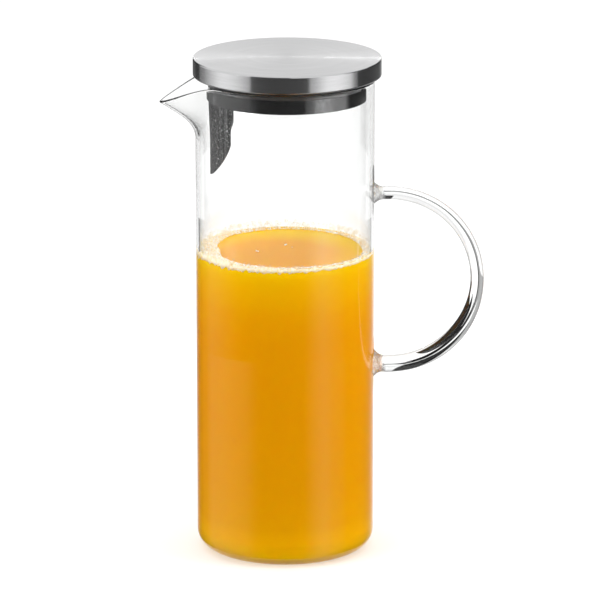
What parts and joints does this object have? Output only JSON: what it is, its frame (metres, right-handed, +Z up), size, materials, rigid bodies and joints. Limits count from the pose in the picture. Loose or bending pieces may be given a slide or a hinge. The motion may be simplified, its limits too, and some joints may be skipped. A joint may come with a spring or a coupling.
{
  "type": "glass pitcher with lid",
  "caption": "Tall straight glass jug with a drawn spout, a welded glass loop handle, and a flat steel lid with a seal and a perforated strainer tongue that covers the spout.",
  "frame": {"origin": "middle of the flat base, on the axis of the straight body", "axes": "+Z up along the body's axis, spout toward -X, handle toward +X"},
  "size_m": [0.1816, 0.1052, 0.283],
  "materials": {
    "glass": "clear, polished",
    "brushed_lid": "circular brushed",
    "sheet_steel": "satin",
    "silicone": "matte"
  },
  "bodies": {
    "pitcher": {"glass_body": "glass", "glass_handle": "glass"},
    "seal": {"lid_seal": "silicone"},
    "lid": {"lid_cap": "brushed_lid", "lid_sleeve": "sheet_steel", "lid_floor": "sheet_steel", "strainer_tongue": "sheet_steel"}
  },
  "joints": [
    {"name": "lid_lift", "type": "slide", "parent": "pitcher", "child": "seal", "axis": [0, 0, 1], "range_m": [0, 0.075]},
    {"name": "lid_turn", "type": "hinge", "parent": "seal", "child": "lid", "pos_m": [0.0013, 0, 0.27], "axis": [0, 0, 1], "continuous": true}
  ]
}
